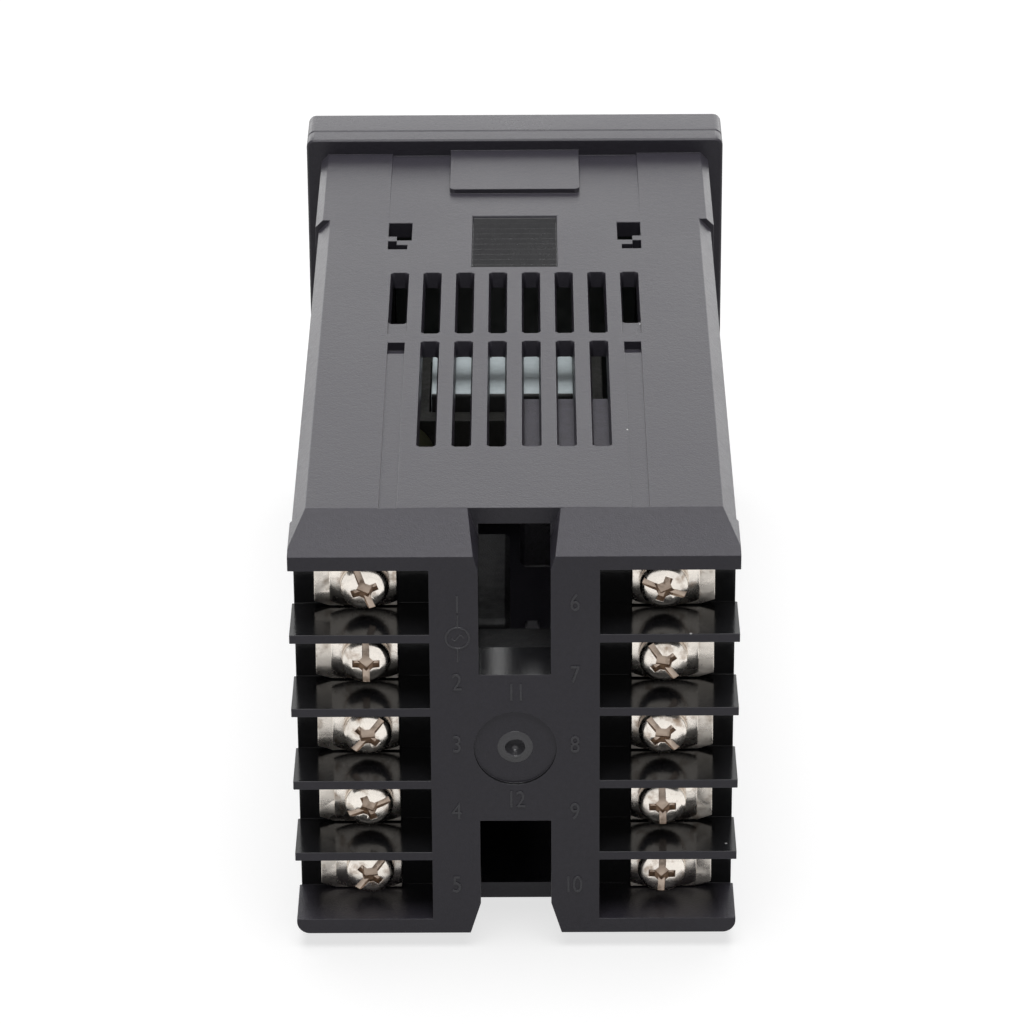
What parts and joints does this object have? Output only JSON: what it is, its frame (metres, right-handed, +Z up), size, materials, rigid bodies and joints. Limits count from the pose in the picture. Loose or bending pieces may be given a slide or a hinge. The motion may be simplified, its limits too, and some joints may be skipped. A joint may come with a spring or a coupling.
{
  "type": "pid temperature controller",
  "caption": "Panel-mounted PID temperature controller, square front with keys and display window, slotted dark case, screw terminals at the rear.",
  "frame": {"origin": "middle of the panel flange's rear face, the face that seats on the panel", "axes": "+Y towards the terminals, -Y towards the display, +Z up, +X to the left as seen from behind"},
  "size_m": [0.048, 0.1091, 0.048],
  "materials": {
    "case_plastic": "matte moulded",
    "bezel_plastic": "fine matte moulded",
    "window_plastic": "smoked gloss",
    "nickel_plate": "nickel plated, satin",
    "board_laminate": "solder mask, satin",
    "black_plastic": "matte",
    "display_plastic": "satin",
    "winding_tape": "wound tape, matte",
    "ferrite": "ground ferrite, matte",
    "relay_plastic": "mottled matte",
    "sleeve_plastic": "heat-shrunk sleeve, satin",
    "key_rubber": "matte"
  },
  "bodies": {
    "case": {"outer_case": "case_plastic", "clamp_washers": "nickel_plate", "terminal_screws": "nickel_plate", "terminal_contact_1": "nickel_plate", "terminal_contact_2": "nickel_plate", "terminal_contact_3": "nickel_plate", "terminal_contact_4": "nickel_plate", "terminal_contact_5": "nickel_plate", "terminal_contact_6": "nickel_plate", "terminal_contact_7": "nickel_plate", "terminal_contact_8": "nickel_plate", "terminal_contact_9": "nickel_plate", "terminal_contact_10": "nickel_plate"},
    "chassis": {"front_bezel": "bezel_plastic", "display_window": "window_plastic", "display_board": "board_laminate", "pv_display": "display_plastic", "sv_display": "display_plastic", "left_board": "board_laminate", "right_board": "board_laminate", "left_header": "black_plastic", "right_header": "black_plastic", "transformer_winding": "winding_tape", "transformer_core": "ferrite", "control_relay": "relay_plastic", "alarm_relay": "relay_plastic", "filter_capacitor": "sleeve_plastic", "output_capacitor": "sleeve_plastic", "microcontroller": "black_plastic", "indicator_lamp_1": "display_plastic", "indicator_lamp_2": "display_plastic", "indicator_lamp_3": "display_plastic", "indicator_lamp_4": "display_plastic", "switch_set": "black_plastic", "switch_shift": "black_plastic", "switch_down": "black_plastic", "switch_up": "black_plastic"},
    "set_key": {"key_set": "key_rubber", "plunger_set": "bezel_plastic"},
    "shift_key": {"key_shift": "key_rubber", "plunger_shift": "bezel_plastic"},
    "down_key": {"key_down": "key_rubber", "plunger_down": "bezel_plastic"},
    "up_key": {"key_up": "key_rubber", "plunger_up": "bezel_plastic"}
  },
  "joints": [
    {"name": "chassis_pull_out", "type": "slide", "parent": "case", "child": "chassis", "axis": [0, -1, 0], "range_m": [0, 0.11]},
    {"name": "set_key_press", "type": "slide", "parent": "chassis", "child": "set_key", "axis": [0, 1, 0], "range_m": [0, 0.0003], "stiffness_N_per_m": 4000, "springref_m": -0.0003},
    {"name": "shift_key_press", "type": "slide", "parent": "chassis", "child": "shift_key", "axis": [0, 1, 0], "range_m": [0, 0.0003], "stiffness_N_per_m": 4000, "springref_m": -0.0003},
    {"name": "down_key_press", "type": "slide", "parent": "chassis", "child": "down_key", "axis": [0, 1, 0], "range_m": [0, 0.0003], "stiffness_N_per_m": 4000, "springref_m": -0.0003},
    {"name": "up_key_press", "type": "slide", "parent": "chassis", "child": "up_key", "axis": [0, 1, 0], "range_m": [0, 0.0003], "stiffness_N_per_m": 4000, "springref_m": -0.0003}
  ]
}
